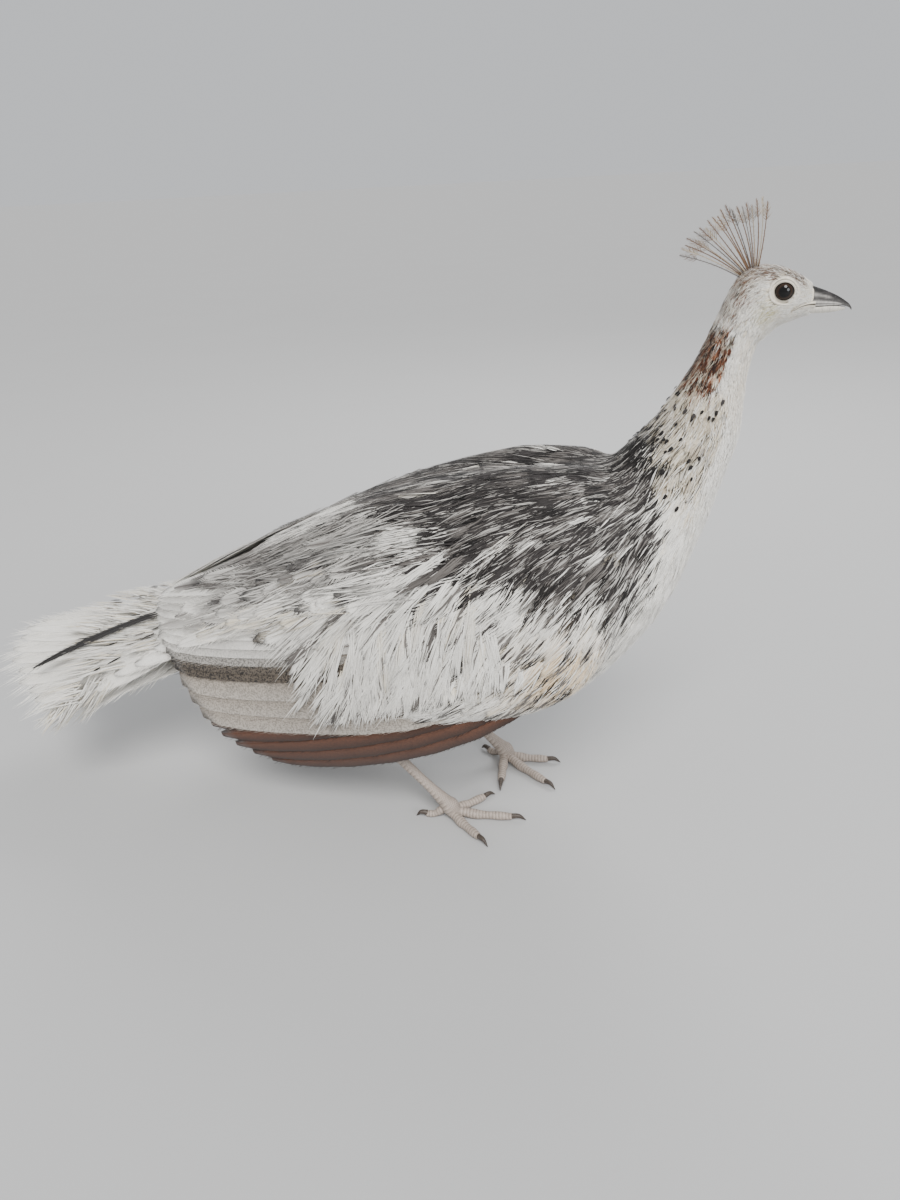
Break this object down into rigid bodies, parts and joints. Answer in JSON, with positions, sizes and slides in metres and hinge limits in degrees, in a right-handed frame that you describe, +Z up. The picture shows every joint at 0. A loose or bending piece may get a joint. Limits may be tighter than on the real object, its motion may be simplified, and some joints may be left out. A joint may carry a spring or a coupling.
{
  "type": "indian peahen",
  "caption": "Life-size standing Indian peahen with a pied white and grey coat, neck raised, low stance, still model.",
  "frame": {"origin": "on the floor under the centre of the bird's box, feet resting on Z = 0", "axes": "+X towards the bill, +Y to the bird's left, +Z up"},
  "size_m": [0.7774, 0.2224, 0.5138],
  "materials": {
    "plumage": "soft matt body feathers, white below, grey streaked on the back",
    "neck_plumage": "short matt feathers, cream white with dark specks and a rufous patch",
    "head_plumage": "very short matt feathers, white with a pale brown crown",
    "eye": "wet gloss, dark brown",
    "bill_horn": "smooth satin dark horn",
    "bill_pale": "smooth satin pale horn",
    "flight_feathers": "matt vanes, white with grey mottling, chestnut primaries",
    "tail_feathers": "matt white vanes with a few dark streaks",
    "crest_feathers": "bare brown shafts with small pale fans",
    "leg_skin": "dry scaled skin, pale pinkish grey",
    "claw_horn": "satin dark horn"
  },
  "bodies": {
    "root": {"torso": "plumage", "neck": "neck_plumage", "head": "head_plumage", "eye_left": "eye", "eye_right": "eye", "bill_upper": "bill_horn", "bill_lower": "bill_pale", "wing_left": "flight_feathers", "wing_right": "flight_feathers", "tail": "tail_feathers", "crest": "crest_feathers", "thigh_left": "plumage", "shank_left": "leg_skin", "foot_left": "leg_skin", "claw_left_outer": "claw_horn", "claw_left_middle": "claw_horn", "claw_left_inner": "claw_horn", "claw_left_hind": "claw_horn", "thigh_right": "plumage", "shank_right": "leg_skin", "foot_right": "leg_skin", "claw_right_outer": "claw_horn", "claw_right_middle": "claw_horn", "claw_right_inner": "claw_horn", "claw_right_hind": "claw_horn"}
  },
  "joints": []
}
